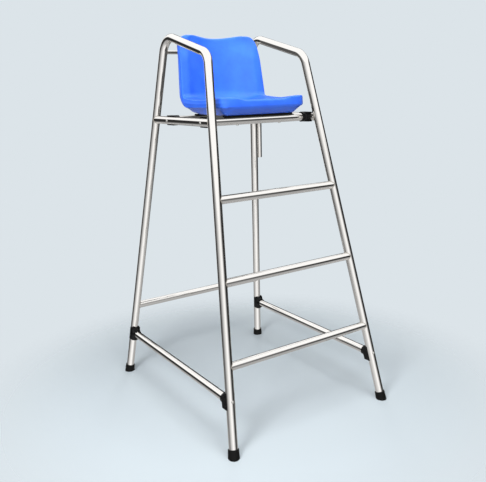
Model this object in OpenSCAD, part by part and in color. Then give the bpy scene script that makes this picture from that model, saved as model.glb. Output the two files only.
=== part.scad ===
// Lifeguard chair: two bent-tube side frames joined by ladder rungs and rails,
// with a moulded bucket seat on top. Front faces -Y, left is the sitter's left (+X),
// and the origin is on the ground under the middle of the chair. Millimetres.

/* [Side frames] */
// Outside diameter of the bent leg and armrest tube
leg_d = 40; // [30:1:50]
// Wall thickness of every steel tube
tube_wall = 1.5; // [1:0.1:3]
// Distance between front and rear feet
base_depth = 1085; // [850:5:1400]
// Distance between left and right feet
base_width = 896; // [740:2:1200]
// Inward lean of each side frame in degrees
side_lean = 6.05; // [3:0.05:7.5]
// Height of the sharp front corner of the armrest
front_corner_h = 1700; // [1640:5:2200]
// How far the front corner stands behind the front foot
front_corner_back = 398; // [250:2:450]
// Height of the sharp rear corner of the armrest
rear_corner_h = 1808; // [1640:2:2300]
// How far the rear corner stands in front of the rear foot
rear_corner_ahead = 277; // [180:1:320]
// Centre-line radius of the armrest bends
bend_r = 75; // [60:1:110]

/* [Rungs and crossbars] */
// Outside diameter of the rungs, rails and stretchers
rail_d = 38; // [25:1:40]
// Height of the first rung
rung_first_h = 380; // [300:5:500]
// Rise from one rung to the next
rung_step = 350; // [260:5:400]
// Height of the crossbar between the rear legs
rear_bar_h = 400; // [320:5:600]
// Height of the side stretchers
stretcher_h = 238; // [150:2:290]
// Outside diameter of the thin tube behind the seat back
back_tube_d = 19; // [14:1:30]
// Height of the thin tube behind the seat back
back_tube_h = 1728; // [1660:2:1760]

/* [Seat platform] */
// Height of the centre of the seat rails
seat_rail_h = 1406; // [1300:2:1450]
// Front cross rail, measured back from the front feet
front_cross_back = 402; // [390:2:440]
// Spacing of the two cross rails under the seat
cross_spacing = 319; // [280:1:340]
// Thickness of the rubber strips between seat and cross rails
strip_t = 6; // [3:0.5:12]
// Width of the rubber strips
strip_w = 26; // [16:1:34]

/* [Saddle connectors] */
// Diameter of a saddle's flare where it meets the tube that it hugs
saddle_flare = 84; // [70:1:96]
// Length of a saddle along the seat rail that it hugs
rail_saddle_len = 62; // [48:1:80]
// Wall of the saddle around the tube that it hugs
saddle_wall = 4; // [2.5:0.5:6]
// Reach of a collar's end from the surface of the tube that its saddle hugs
collar_reach = 27; // [24:1:40]
// Wall of the collar around the tube that it holds
collar_wall = 4; // [2.5:0.5:6]
// Depth that a tube goes into its collar
socket_depth = 18; // [12:1:20]

/* [Feet] */
// Diameter of a rubber foot at the ground
foot_d = 52; // [44:1:70]
// Diameter of a rubber foot at its top
foot_top_d = 49; // [44:1:64]
// Height of a rubber foot
foot_h = 40; // [35:1:80]
// Rubber between the end of the leg and the ground
foot_sole = 12; // [6:1:20]

/* [Bucket seat] */
// Half of the seat's width at the pan
seat_half_w = 244; // [200:1:255]
// Front edge of the seat, measured back from the front feet
seat_front_back = 345; // [335:1:380]
// Depth of the pan's rim, from its front edge to the front of the back's rim
pan_rim_depth = 338; // [300:1:350]
// Mean height of the pan's rim over the seat's base
rim_h = 75; // [60:1:95]
// Height of the back's top corners over the seat's base
seat_h = 372; // [300:1:420]
// Lean of the back in degrees
back_lean = 7; // [3:0.5:10]
// Thickness of the double wall at the back's sides
rim_depth = 26; // [22:1:50]
// Depth of the pan's hollow below its rim
pan_hollow = 36; // [20:1:42]
// Depth of the back's hollow behind its rim
back_hollow = 50; // [20:1:60]
// Thickness of the double wall in the middle of the back
back_wall = 28; // [22:1:34]
// Width of the rolled rim
rim_w = 33; // [24:1:40]
// Radius of the front corners seen from above
seat_corner_r = 50; // [25:1:70]
// Radius of the rolled edges
edge_r = 10; // [5:0.5:11]

/* [Pole holder] */
// Outside diameter of the pole holder tube
holder_d = 28; // [22:1:40]
// Length of the pole holder tube
holder_len = 250; // [180:5:320]
// Height of the lower end of the pole holder
holder_h = 1160; // [1000:5:1200]

/* [Fit] */
// Running gap between a cut tube end and the tube that it meets
seat_gap = 0.3; // [0.2:0.05:0.8]

/* [Hidden] */
$fn = 48;
cut = 1;                                  // overlap of a cutting shape past a face
far = 4000;                               // larger than the whole chair
front_foot_y = -base_depth / 2;
rear_foot_y = base_depth / 2;
lean_s = 1 / cos(side_lean);              // slanted length per unit of height
front_corner = [front_foot_y + front_corner_back, front_corner_h * lean_s];
rear_corner = [rear_foot_y - rear_corner_ahead, rear_corner_h * lean_s];
front_foot = [front_foot_y, 0];
rear_foot = [rear_foot_y, 0];
front_cross_y = front_foot_y + front_cross_back;
rear_cross_y = front_cross_y + cross_spacing;
base_z = seat_rail_h + rail_d / 2 + strip_t;   // underside of the seat's base
leg_r = leg_d / 2;
rail_r = rail_d / 2;
steel = [0.80, 0.81, 0.82];
black = [0.07, 0.07, 0.08];
blue = [0.25, 0.48, 0.97];

// ---- Where things are -------------------------------------------------------

// A point given along the slanted plane of a side frame, at a real height h
function on_leg(foot, corner, h) =
    let (s = h * lean_s) foot + (corner - foot) * (s / corner.y);
function side_x(h) = base_width / 2 - h * tan(side_lean);

// Put a child drawn in the YZ plane onto the slanted plane of one side frame
module in_side_plane(side) {
    translate([side * base_width / 2, 0, 0])
        rotate([0, -side * side_lean, 0])
            children();
}

// Turn a child that runs along +Z to run from p towards q, both in the YZ plane
module along(p, q) {
    translate([0, p.x, p.y])
        rotate([-atan2(q.x - p.x, q.y - p.y), 0, 0])
            children();
}

// ---- Bent tube --------------------------------------------------------------

function unit(v) = v / norm(v);

// Straight run of round bar, longer by extra at each end
module run(p, q, d, extra = 0) {
    along(p, q)
        translate([0, 0, -extra])
            cylinder(h = norm(q - p) + 2 * extra, d = d);
}

// Section of the leg tube
module leg_section() {
    difference() {
        circle(d = leg_d);
        circle(d = leg_d - 2 * tube_wall);
    }
}

// Straight leg tube that starts upwards at the origin
module straight_tube(length) {
    linear_extrude(length)
        leg_section();
}

// Bend that starts upwards at the origin and turns by angle towards +Y
module bend_tube(angle) {
    translate([0, bend_r, 0])
        rotate([90, 0, -90])
            rotate_extrude(angle = angle)
                translate([bend_r, 0])
                    leg_section();
}

// Put a child at the end of such a straight tube and bend
module after_bend(length, angle) {
    translate([0, bend_r, length])
        rotate([-angle, 0, 0])
            translate([0, -bend_r, 0])
                children();
}

// The bent tube of one side frame is one run of tube, told here in three lengths:
// front leg with its bend, armrest with the rear bend, and rear leg
up_run = front_corner - front_foot;
arm_run = rear_corner - front_corner;
down_run = rear_foot - rear_corner;
front_turn = acos(unit(up_run) * unit(arm_run));
rear_turn = acos(unit(arm_run) * unit(down_run));
front_tangent = bend_r * tan(front_turn / 2);
rear_tangent = bend_r * tan(rear_turn / 2);
leg_start = foot_sole + seat_gap;
front_leg_len = norm(up_run) - leg_start - front_tangent;
armrest_len = norm(arm_run) - front_tangent - rear_tangent;
rear_leg_len = norm(down_run) - rear_tangent - leg_start;

module at_front_foot(side) {
    color(steel)
        in_side_plane(side)
            along(front_foot, front_corner)
                translate([0, 0, leg_start])
                    children();
}

module front_leg(side) {
    at_front_foot(side) {
        straight_tube(front_leg_len);
        translate([0, 0, front_leg_len])
            bend_tube(front_turn);
    }
}

module armrest(side) {
    at_front_foot(side)
        after_bend(front_leg_len, front_turn) {
            straight_tube(armrest_len);
            translate([0, 0, armrest_len])
                bend_tube(rear_turn);
        }
}

module rear_leg(side) {
    at_front_foot(side)
        after_bend(front_leg_len, front_turn)
            after_bend(armrest_len, rear_turn)
                straight_tube(rear_leg_len);
}

// Everything that a leg's own round takes away from a tube cut to fit it
module leg_cutter(side, foot, corner) {
    in_side_plane(side)
        run(foot, corner, leg_d + 2 * seat_gap);
}

// ---- Welded cross tubes -----------------------------------------------------

// Hollow tube along X, centred, of length w
module cross_tube(w, d) {
    rotate([0, 90, 0])
        difference() {
            cylinder(h = w, d = d, center = true);
            cylinder(h = w + 2 * cut, d = d - 2 * tube_wall, center = true);
        }
}

// Tube between the left and right legs at height h, its ends cut to fit them
module leg_to_leg(h, d, foot, corner) {
    color(steel)
        difference() {
            translate([0, on_leg(foot, corner, h).x, h])
                cross_tube(2 * side_x(h), d);
            for (side = [-1, 1])
                leg_cutter(side, foot, corner);
        }
}

module rung(number) {
    leg_to_leg(rung_first_h + (number - 1) * rung_step, rail_d, front_foot, front_corner);
}

module rear_crossbar() { leg_to_leg(rear_bar_h, rail_d, rear_foot, rear_corner); }

module back_tube() { leg_to_leg(back_tube_h, back_tube_d, rear_foot, rear_corner); }

// Tube in a side frame's plane between front and rear leg, its ends cut back by clear
module leg_to_leg_side(side, h, front_clear, rear_clear) {
    front = on_leg(front_foot, front_corner, h);
    rear = on_leg(rear_foot, rear_corner, h);
    in_side_plane(side)
        difference() {
            run(front + [front_clear, 0], rear - [rear_clear, 0], rail_d);
            run(front, rear, rail_d - 2 * tube_wall, cut);
        }
}

module seat_rail(side) {
    color(steel)
        difference() {
            leg_to_leg_side(side, seat_rail_h, 0, 0);
            leg_cutter(side, front_foot, front_corner);
            leg_cutter(side, rear_foot, rear_corner);
        }
}

// From the centre of a hugged tube of diameter d to the floor of its saddle's socket
function socket_floor(d) = d / 2 + collar_reach - socket_depth;

module stretcher(side) {
    clear = socket_floor(leg_d) + seat_gap;
    color(steel)
        leg_to_leg_side(side, stretcher_h, clear, clear);
}

// Cross rail under the seat; its ends sit in the collars of two saddles
module cross_rail(y) {
    color(steel)
        translate([0, y, seat_rail_h])
            cross_tube(2 * (side_x(seat_rail_h) - socket_floor(rail_d) - seat_gap), rail_d);
}

// ---- Moulded saddle connector -------------------------------------------------

collar_len = 10;                // length of the round collar at a saddle's end
collar_chamfer = 2;             // chamfer of the collar's end
flange_t = 5;                   // thickness of the flare's edge in front of the hugged tube
throat_steps = 6;

// Saddle that hugs half of a tube of diameter d running along Z through the origin and
// holds a tube that leaves along +X. The hugged tube leans towards +X, and length is how
// much of the flare is left along it.
module saddle(d, lean, length) {
    reach = d / 2 + collar_reach;
    collar_r = rail_r + seat_gap + collar_wall;
    flare_r = saddle_flare / 2;
    flange = d / 2 + flange_t;
    throat_run = reach - collar_len - flange;
    half_w = d / 2 + seat_gap + saddle_wall;
    throat = [for (i = [0 : throat_steps])
        let (a = 90 * i / throat_steps)
        [flare_r - (flare_r - collar_r) * sin(a), flange + throat_run * (1 - cos(a))]];
    difference() {
        intersection() {
            rotate([0, 90, 0])
                rotate_extrude()
                    polygon(concat([[0, -d / 2], [flare_r, -d / 2]], throat,
                                   [[collar_r, reach - collar_chamfer],
                                    [collar_r - collar_chamfer, reach], [0, reach]]));
            rotate([0, lean, 0])
                translate([0, -half_w, -length / 2])
                    cube([2 * reach, 2 * half_w, length]);
        }
        rotate([0, lean, 0])
            cylinder(h = 2 * saddle_flare, d = d + 2 * seat_gap, center = true);
        translate([socket_floor(d), 0, 0])
            rotate([0, 90, 0])
                cylinder(h = reach, d = rail_d + 2 * seat_gap);
    }
}

// Saddle on a leg, holding the end of a side stretcher
module leg_saddle(side, front) {
    foot = front ? front_foot : rear_foot;
    corner = front ? front_corner : rear_corner;
    at = on_leg(foot, corner, stretcher_h);
    tilt = atan2(abs(corner.x - foot.x), corner.y);
    color(black)
        in_side_plane(side)
            translate([0, at.x, at.y])
                rotate([0, 0, front ? 90 : -90])
                    saddle(leg_d, tilt, 2 * saddle_flare);
}

// Saddle on a seat rail, holding the end of a cross rail
module rail_saddle(side, y) {
    color(black)
        translate([side * side_x(seat_rail_h), y, seat_rail_h])
            rotate([0, 0, side > 0 ? 180 : 0])
                rotate([90, 0, 0])
                    saddle(rail_d, 0, rail_saddle_len);
}

// ---- Rubber feet ----------------------------------------------------------------

foot_chamfer = 2;               // chamfer of a foot's top edge

module rubber_foot(side, front) {
    foot = front ? front_foot : rear_foot;
    corner = front ? front_corner : rear_corner;
    below = foot_d / 4;
    color(black)
        difference() {
            in_side_plane(side)
                along(foot, corner)
                    difference() {
                        rotate_extrude()
                            polygon([[0, -below], [foot_d / 2, -below], [foot_d / 2, foot_sole / 2],
                                     [foot_top_d / 2, foot_h - foot_chamfer],
                                     [foot_top_d / 2 - foot_chamfer, foot_h],
                                     [0, foot_h]]);
                        translate([0, 0, foot_sole])
                            cylinder(h = foot_h, d = leg_d + 2 * seat_gap);
                    }
            translate([-far / 2, -far / 2, -far])
                cube([far, far, far]);
        }
}

// ---- Bucket seat ------------------------------------------------------------------

seat_y0 = front_foot_y + seat_front_back;         // front edge
rim_back_y = seat_y0 + pan_rim_depth;             // front of the back's rim at the pan
shell_back_y = rim_back_y + back_hollow + back_wall;   // back of the middle of the back
base_inset = 43;                                  // base is narrower than the rim by this
base_narrowing = 0.4;                             // more inset of the base towards the rear
narrow_start = 0.5;                               // share of the pan where that starts
lip_face = 43;                                    // height of the upright front and side face
front_chamfer = 30;                               // run of the slanted underside at the front
scoop = 12;                                       // dip of the front lip in the middle
scoop_run = 120;                                  // run over which the hollow opens behind it
shoulder = 0.5;                                   // share of the half width where the dip ends
rim_wave = 5;                                     // rise and dip of the pan's rim
wave_turn = 300;                                  // turn of that wave along the pan
top_dip = 10;                                     // dip of the top edge in the middle
top_back = 18;                                    // how far the rim runs back into the top edge
top_wall = 17;                                    // thickness of the top edge at its corners
top_mid_wall = 21;                                // the same in the middle
top_start = 0.55;                                 // where up the back that starts
back_taper = 17;                                  // each side's narrowing up the back
top_corner_r = 58;                                // height of the back's top corners
top_corner_cut = 0.85;                            // their width over their height
arc_part = 0.45;                                  // share of the hollow that is an arc
rim_turn_r = 28;                                  // turn from pan to back at the rim
hollow_turn_r = 85;                               // the same in the hollow
outer_turn_r = 62;                                // the same at the outer edge
base_turn_r = 14;                                 // the same at the underside
pan_steps = 7;
turn_steps = 8;
back_steps = 9;
across_steps = 15;
round_steps = 3;
round_share = 0.42;                               // rounding of an edge over its thickness

swing = 90 - back_lean;                           // turn from the pan to the back

// Where a flat line ends that would meet the back's line at y, turning with radius r
function flat_end(y, r) = y - r * tan(swing / 2);

// Point along a line that runs back along y, turns up with radius r and then leans back.
// t runs 0..1 along the pan, 1..2 round the turn and 2..3 up the back.
function elbow(t, y0, y1, z, r) =
    let (end = flat_end(y1, r),
         a = clip(t - 1) * swing,
         arc = [end + r * sin(a), z + r * (1 - cos(a))],
         lift = (base_z + seat_h - z - r * (1 - cos(swing))) * climb(t))
    t < 1 ? [y0 + (end - y0) * t, z]
          : arc + [lift * tan(back_lean), lift];

function clip(x) = max(0, min(1, x));
function smooth(x) = let (c = clip(x)) c * c * (3 - 2 * c);

// How far up the back a station is, 0 at the turn and 1 at the top
function climb(t) = max(0, t - 2);

// Rounded closing of the shell over its last edge_r of length
function ease(d) = d >= edge_r ? 0 : edge_r - sqrt(edge_r * edge_r - pow(edge_r - d, 2));

// Drop of a corner of radius r at distance d from its end
function corner_drop(d, r) = d < r ? r - sqrt(r * r - pow(r - d, 2)) : 0;

// Stations along the shell: dense where its front and top edges are rolled
near = [0, 0.15, 0.5, 1];
pan_len = pan_rim_depth;
back_len = seat_h - rim_h;
stations = concat(
    [for (n = near) n * edge_r / pan_len],
    [for (i = [1 : pan_steps]) edge_r / pan_len + (1 - edge_r / pan_len) * i / pan_steps],
    [for (i = [1 : turn_steps]) 1 + i / turn_steps],
    [for (i = [1 : back_steps]) 2 + (1 - edge_r / back_len) * i / back_steps],
    [for (n = [2, 1, 0]) 3 - near[n] * edge_r / back_len]);

// Distance to the nearer end of the shell
function end_gap(t) = t < 1 ? t * pan_len : t > 2 ? (3 - t) * back_len : edge_r;

// Half width: rounded front corners, then a slow taper up the back and round top corners
function half_width(t) =
    seat_half_w - corner_drop(t * pan_len, seat_corner_r) - back_taper * climb(t)
    - top_corner_cut * corner_drop((3 - t) * back_len, top_corner_r);

// How far the rim has run back into the top edge at t
function run_back(t) = smooth((climb(t) - top_start) / (1 - top_start));

// The four guiding lines of the shell at t: rim, hollow, outer rim and base
function rim_line(t) =
    elbow(t, seat_y0, rim_back_y, base_z + rim_h, rim_turn_r)
    + [top_back * run_back(t), rim_wave * cos(wave_turn * clip(t))];
function hollow_line(t) =
    elbow(t, seat_y0, rim_back_y + back_hollow, base_z + rim_h - pan_hollow, hollow_turn_r);
function outer_line(t) =
    elbow(t, seat_y0, rim_back_y + rim_depth, base_z + rim_h - lip_face, outer_turn_r)
    + [(top_back + top_wall - rim_depth) * run_back(t), 0];
function base_line(t) =
    elbow(t, seat_y0, shell_back_y, base_z, base_turn_r)
    + [(top_mid_wall - back_wall) * run_back(t), 0];

// Section across the hollow: 0 in the middle, an arc, then straight sides up to 1 at the rim
function section(v) =
    let (inner = 1 - rim_w / seat_half_w, a = abs(v))
    a >= inner ? 1 : (a < arc_part ? a * a / (2 * arc_part) : a - arc_part / 2)
                     / (inner - arc_part / 2);

// Dip of the top edge at the same place
function dip(t, v) = [0, top_dip * (1 - section(v)) * climb(t)];

// Share of the half width that is flat base at t
function base_share(t) =
    1 - base_inset / seat_half_w - base_narrowing * smooth(t - narrow_start);

function top_point(t, v) =
    let (r = rim_line(t),
         full = r + (hollow_line(t) - r) * (1 - section(v)) - dip(t, v),
         lip = r - [0, scoop * (1 - smooth((abs(v) - shoulder) / (1 - rim_w / seat_half_w
                                                                     - shoulder)))],
         k = smooth(t * pan_len / scoop_run))
    t < 1 ? lip + (full - lip) * k : full;

function under_point(t, v) =
    let (g = clip((abs(v) - base_share(t)) / (1 - base_share(t))),
         o = outer_line(t),
         b = base_line(t),
         p = b + (o - b) * g - dip(t, v))
    t < 1 ? [p.x, o.y + (p.y - o.y) * clip(t * pan_len / front_chamfer)] : p;

// Radius of the rolled side edge at t
function roll(t) = min(edge_r, round_share * norm(top_point(t, 1) - under_point(t, 1)));

// One closed ring across the shell at t, counted from the middle of the underside
function ring(t) =
    let (r = roll(t),
         e = ease(end_gap(t)) * r / edge_r,
         inner_w = half_width(t) - r,
         top = function(v) top_point(t, v),
         low = function(v) under_point(t, v),
         up = unit(top(0) - low(0)),
         half = concat(
            [for (i = [0 : across_steps])
                let (v = i / across_steps, p = low(v) + up * e) [v * (inner_w - e), p.x, p.y]],
            [for (i = [1 : round_steps])
                let (a = 90 * i / round_steps, p = low(1) + up * (e + (r - e) * (1 - cos(a))))
                [inner_w - e + r * sin(a), p.x, p.y]],
            [for (i = [round_steps : -1 : 1])
                let (a = 90 * i / round_steps, p = top(1) - up * (e + (r - e) * (1 - cos(a))))
                [inner_w - e + r * sin(a), p.x, p.y]],
            [for (i = [across_steps : -1 : 0])
                let (v = i / across_steps, p = top(v) - up * e) [v * (inner_w - e), p.x, p.y]]))
    concat(half, [for (i = [len(half) - 2 : -1 : 1]) [-half[i].x, half[i].y, half[i].z]]);

// Flat end of the shell, zipped between the lower and the upper half of its ring
function cap(first, n, flip) =
    let (h = n / 2,
         right = [for (k = [0 : (h - 3) / 2]) [k, k + 1, h - k - 1, h - k]],
         left = [for (q = right) [for (i = [3, 2, 1, 0]) (n - q[i]) % n]])
    [for (q = concat(right, left)) each
        [for (tri = [[q[0], q[1], q[2]], [q[0], q[2], q[3]]])
            [for (i = flip ? [2, 1, 0] : [0, 1, 2]) first + tri[i]]]];

module bucket_seat() {
    rings = [for (t = stations) ring(t)];
    n = len(rings[0]);
    m = len(rings);
    points = [for (r = rings) each r];
    sides = [for (j = [0 : m - 2], i = [0 : n - 1])
        let (a = j * n + i, b = j * n + (i + 1) % n)
        each [[a, b, a + n], [b, b + n, a + n]]];
    color(blue)
        polyhedron(points, concat(sides, cap(0, n, true), cap((m - 1) * n, n, false)), convexity = 6);
}

// ---- Strips under the seat ---------------------------------------------------------

strip_inset = 2;                 // the strips end this far inside the seat's base
strip_hug = 5;                   // how far a strip reaches down its cross rail

module seat_strip(y) {
    base_len = flat_end(shell_back_y, base_turn_r) - seat_y0;
    half_len = (seat_half_w - edge_r) * base_share((y - seat_y0) / base_len) - strip_inset;
    color(black)
        difference() {
            translate([-half_len, y - strip_w / 2, seat_rail_h + rail_r - strip_hug])
                cube([2 * half_len, strip_w, strip_hug + strip_t - seat_gap]);
            translate([0, y, seat_rail_h])
                rotate([0, 90, 0])
                    cylinder(h = far, d = rail_d + 2 * seat_gap, center = true);
        }
}

// ---- Pole holder ----------------------------------------------------------------------

holder_clear = 2;                // space between the holder and the leg
tab_places = [0.12, 0.88];       // shares of the holder's length
tab_w = leg_r;
tab_t = leg_r / 2;

// Short open tube beside the left rear leg, on two welded tabs
module pole_holder() {
    low = on_leg(rear_foot, rear_corner, holder_h);
    high = on_leg(rear_foot, rear_corner, holder_h + holder_len);
    step = leg_r + holder_d / 2 + holder_clear;
    color(steel)
        in_side_plane(1)
            difference() {
                union() {
                    translate([step, 0, 0])
                        run(low, high, holder_d);
                    for (f = tab_places)
                        along(low + (high - low) * f, high)
                            translate([0, -tab_t / 2, -tab_w / 2])
                                cube([step, tab_t, tab_w]);
                }
                translate([step, 0, 0])
                    run(low, high, holder_d - 2 * tube_wall, cut);
                run(rear_foot, rear_corner, leg_d + 2 * seat_gap);
            }
}

front_leg(1);  // front_leg_left
front_leg(-1);  // front_leg_right
armrest(1);  // armrest_left
armrest(-1);  // armrest_right
rear_leg(1);  // rear_leg_left
rear_leg(-1);  // rear_leg_right
rung(1);  // rung_lower
rung(2);  // rung_middle
rung(3);  // rung_upper
rear_crossbar();
back_tube();
seat_rail(1);  // seat_rail_left
seat_rail(-1);  // seat_rail_right
cross_rail(front_cross_y);  // cross_rail_front
cross_rail(rear_cross_y);  // cross_rail_rear
stretcher(1);  // stretcher_left
stretcher(-1);  // stretcher_right
rail_saddle(1, front_cross_y);  // saddle_cross_front_left
rail_saddle(-1, front_cross_y);  // saddle_cross_front_right
rail_saddle(1, rear_cross_y);  // saddle_cross_rear_left
rail_saddle(-1, rear_cross_y);  // saddle_cross_rear_right
leg_saddle(1, true);  // saddle_stretcher_front_left
leg_saddle(-1, true);  // saddle_stretcher_front_right
leg_saddle(1, false);  // saddle_stretcher_rear_left
leg_saddle(-1, false);  // saddle_stretcher_rear_right
rubber_foot(1, true);  // foot_front_left
rubber_foot(-1, true);  // foot_front_right
rubber_foot(1, false);  // foot_rear_left
rubber_foot(-1, false);  // foot_rear_right
bucket_seat();
seat_strip(front_cross_y);  // seat_strip_front
seat_strip(rear_cross_y);  // seat_strip_rear
pole_holder();
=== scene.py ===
"""Looks of a lifeguard chair: bent stainless side frames, rungs and a blow-moulded bucket seat.

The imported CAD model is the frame.  Each side's bent tube is drawn in one piece, moulded
parts get their rounded edges, and welds, bolts and washers are added where the CAD has none.
Lengths are in metres unless a name ends in _mm.  The front faces -Y and left is +X.
"""

import logging
from collections.abc import Callable
from dataclasses import dataclass
from enum import Enum
from functools import partial
from math import atan2, cos, degrees, pi, radians, sin, sqrt, tan, tau

import bmesh
import bpy
from bmesh.types import BMEdge, BMesh, BMVert
from bpy.types import Material, Mesh, Node, NodeTree, Object
from mathutils import Matrix, Vector


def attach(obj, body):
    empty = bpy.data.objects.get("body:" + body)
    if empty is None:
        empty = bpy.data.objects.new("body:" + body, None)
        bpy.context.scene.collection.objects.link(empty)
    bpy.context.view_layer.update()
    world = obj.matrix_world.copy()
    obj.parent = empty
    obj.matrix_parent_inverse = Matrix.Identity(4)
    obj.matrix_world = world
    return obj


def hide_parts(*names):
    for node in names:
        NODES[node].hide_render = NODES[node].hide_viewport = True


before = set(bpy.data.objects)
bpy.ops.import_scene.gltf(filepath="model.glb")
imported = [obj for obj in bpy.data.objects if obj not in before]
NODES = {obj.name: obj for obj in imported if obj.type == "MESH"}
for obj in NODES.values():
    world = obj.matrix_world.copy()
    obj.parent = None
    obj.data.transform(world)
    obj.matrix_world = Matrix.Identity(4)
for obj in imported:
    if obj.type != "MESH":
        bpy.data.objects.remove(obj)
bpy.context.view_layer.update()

LOG = logging.getLogger("lifeguard_chair")
MM = 0.001
# Distance at which points are one
MERGE = 1e-6
# Range that Blender's noise mostly keeps to, and how much its finer octaves weigh
NOISE_SPAN = (0.3, 0.7)
NOISE_ROUGHNESS = 0.55
SOFT = {"interpolation_type": "SMOOTHSTEP"}


class Side(Enum):
    """The two side frames, by the sign of their X."""

    LEFT = 1
    RIGHT = -1

    @property
    def word(self) -> str:
        """Name of the side as it stands in node names."""
        return self.name.lower()


class End(Enum):
    """The two ends of a side frame, by the sign of their Y."""

    FRONT = -1
    REAR = 1

    @property
    def word(self) -> str:
        """Name of the end as it stands in node names."""
        return self.name.lower()


# --- Materials ---


def linear(hex_code: str) -> tuple[float, ...]:
    """Turn an sRGB hex colour such as "#C9C8C5" into linear red, green, blue and alpha."""
    channels = [int(hex_code[i : i + 2], 16) / 255 for i in (1, 3, 5)]
    return (*(c / 12.92 if c <= 0.04045 else ((c + 0.055) / 1.055) ** 2.4 for c in channels), 1.0)


def add_node(tree: NodeTree, kind: str, settings: dict | None = None,
             values: dict | None = None, links: dict | None = None) -> Node:
    """Add one node to a tree, set it and link what flows into it.

    Args:
        tree: Node tree that takes the node.
        kind: Blender's name of the node type, after "ShaderNode".
        settings: Properties of the node itself.
        values: Fixed values by input name or number.
        links: What feeds an input, by its name or number: a socket, or a node for the first
            output that it has in use.

    Returns:
        The new node.
    """
    node = tree.nodes.new("ShaderNode" + kind)
    for name, value in (settings or {}).items():
        setattr(node, name, value)
    for key, value in (values or {}).items():
        node.inputs[key].default_value = value
    for key, source in (links or {}).items():
        if isinstance(source, Node):
            source = next(socket for socket in source.outputs if socket.enabled)
        tree.links.new(source, node.inputs[key])
    return node


def new_material(name: str) -> tuple[Material, Callable[..., Node]]:
    """Start a material with an empty tree.

    Args:
        name: Real name of the substance.

    Returns:
        The material, and the function that adds a node to its tree.
    """
    material = bpy.data.materials.new(name)
    material.use_nodes = True
    material.node_tree.nodes.clear()
    return material, partial(add_node, material.node_tree)


@dataclass(frozen=True)
class Finish:
    """Surface whose gloss varies in soft patches, over a fine grain.

    Both patterns follow the piece and have real sizes.  Grit and mould grain are really
    finer than 0.5 mm; they are drawn coarser, because finer ones would not show.
    """

    name: str
    smooth: float
    dull: float
    patch_mm: float
    grain_mm: float
    grain_depth_mm: float
    grain_strength: float

    def make(self, values: dict, shades: tuple[str, str] | None = None) -> Material:
        """Make the material.

        Args:
            values: What is the same all over, by the shader's socket.
            shades: Colours that the patches run between, where the colour varies.

        Returns:
            The material.
        """
        material, add = new_material(self.name)
        coords = add("TexCoord")
        patches, grain = (
            add("TexNoise",
                values={"Scale": 1 / (size * MM), "Detail": octaves,
                        "Roughness": NOISE_ROUGHNESS},
                links={"Vector": coords.outputs["Object"]})
            for size, octaves in ((self.patch_mm, 4.0), (self.grain_mm, 2.0))
        )
        # The noise keeps to NOISE_SPAN, which is spread over each range
        gloss, share = (
            add("MapRange", None,
                {"From Min": NOISE_SPAN[0], "From Max": NOISE_SPAN[1], "To Min": low,
                 "To Max": high}, {"Value": patches})
            for low, high in ((self.smooth, self.dull), (0.0, 1.0))
        )
        relief = add("Bump", None,
                     {"Strength": self.grain_strength, "Distance": self.grain_depth_mm * MM},
                     {"Height": grain})
        flows = {"Roughness": gloss, "Normal": relief}
        if shades:
            flows["Base Color"] = add("Mix", {"data_type": "RGBA"},
                                      {"A": linear(shades[0]), "B": linear(shades[1])},
                                      {"Factor": share})
        shader = add("BsdfPrincipled", values=values, links=flows)
        add("OutputMaterial", links={"Surface": shader})
        return material


@dataclass(frozen=True)
class SteelFinish(Finish):
    """Stainless steel: metallic, a slightly wavy polish and faint hand marks."""

    colour: str

    def build(self) -> Material:
        """Make the steel."""
        return self.make({"Base Color": linear(self.colour), "Metallic": 1.0})


@dataclass(frozen=True)
class PlasticFinish(Finish):
    """Moulded plastic or rubber: body colour with a paler handled shade, and uneven gloss."""

    colour: str
    worn_colour: str
    ior: float
    gloss_level: float

    def build(self) -> Material:
        """Make the plastic."""
        return self.make({"IOR": self.ior, "Specular IOR Level": self.gloss_level},
                         (self.colour, self.worn_colour))


class Finishes:
    """Every material of the chair, made once."""

    def __init__(self) -> None:
        """Build the materials."""
        # Buffed tube: mirror-like lines of light with a slightly uneven polish
        self.tube = SteelFinish(
            "polished_stainless_tube", smooth=0.05, dull=0.10, patch_mm=70.0, grain_mm=45.0,
            grain_depth_mm=0.08, grain_strength=0.12, colour="#DFDDDA",
        ).build()
        # Weld metal is dressed but keeps a duller, faintly straw-coloured skin
        self.weld = SteelFinish(
            "dressed_stainless_weld", smooth=0.24, dull=0.36, patch_mm=70.0, grain_mm=1.5,
            grain_depth_mm=0.05, grain_strength=0.15, colour="#B8B2A8",
        ).build()
        # Turned bolt heads shine in small spots
        self.bolt = SteelFinish(
            "stainless_fastener", smooth=0.16, dull=0.24, patch_mm=70.0, grain_mm=45.0,
            grain_depth_mm=0.08, grain_strength=0.12, colour="#D0CFCC",
        ).build()
        # Blow-moulded HDPE: soft broad gloss over a fine mould grain
        self.seat = PlasticFinish(
            "blow_moulded_hdpe", smooth=0.30, dull=0.40, patch_mm=60.0, grain_mm=1.2,
            grain_depth_mm=0.05, grain_strength=0.12, colour="#316CFA", worn_colour="#3978FE",
            ior=1.54, gloss_level=0.5,
        ).build()
        # Glass-filled nylon: near black with a satin gloss
        self.nylon = PlasticFinish(
            "moulded_black_nylon", smooth=0.22, dull=0.36, patch_mm=15.0, grain_mm=0.8,
            grain_depth_mm=0.04, grain_strength=0.15, colour="#060607", worn_colour="#0D0D0E",
            ior=1.53, gloss_level=0.14,
        ).build()
        # Rubber of the feet: matt, a little dusty
        self.rubber = PlasticFinish(
            "moulded_black_rubber", smooth=0.45, dull=0.62, patch_mm=12.0, grain_mm=0.9,
            grain_depth_mm=0.06, grain_strength=0.25, colour="#070707", worn_colour="#121211",
            ior=1.52, gloss_level=0.12,
        ).build()


# --- The chair's sizes and places ---


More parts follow.
